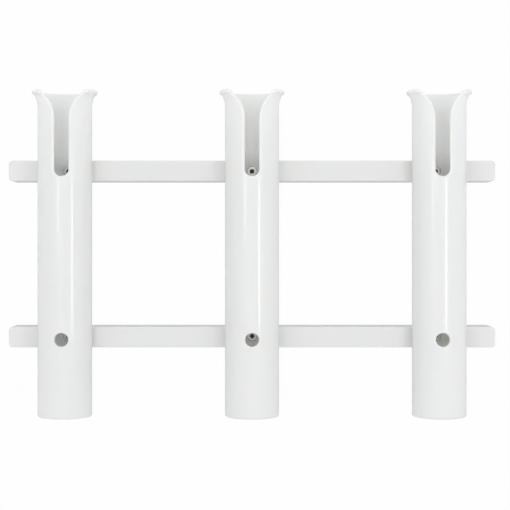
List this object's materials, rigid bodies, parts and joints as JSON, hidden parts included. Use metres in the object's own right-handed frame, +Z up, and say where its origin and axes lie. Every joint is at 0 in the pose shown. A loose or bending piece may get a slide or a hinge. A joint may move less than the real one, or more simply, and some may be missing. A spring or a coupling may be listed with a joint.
{
  "type": "rod holder",
  "caption": "Wall rack for fishing rods: flared, slotted plastic tubes on cross bars, held by countersunk wall screws.",
  "frame": {"origin": "centre of the screw pattern, on the wall face", "axes": "+Z up along the tubes, +X along the rails to the viewer's right, +Y into the wall; the front faces -Y"},
  "size_m": [0.4366, 0.082, 0.289],
  "materials": {
    "white_plastic": "glossy moulded",
    "stainless_steel": "satin stainless"
  },
  "bodies": {
    "root": {"left_tube": "white_plastic", "middle_tube": "white_plastic", "right_tube": "white_plastic", "upper_rail": "white_plastic", "lower_rail": "white_plastic", "upper_left_screw": "stainless_steel", "upper_middle_screw": "stainless_steel", "upper_right_screw": "stainless_steel", "lower_left_screw": "stainless_steel", "lower_middle_screw": "stainless_steel", "lower_right_screw": "stainless_steel"}
  },
  "joints": []
}
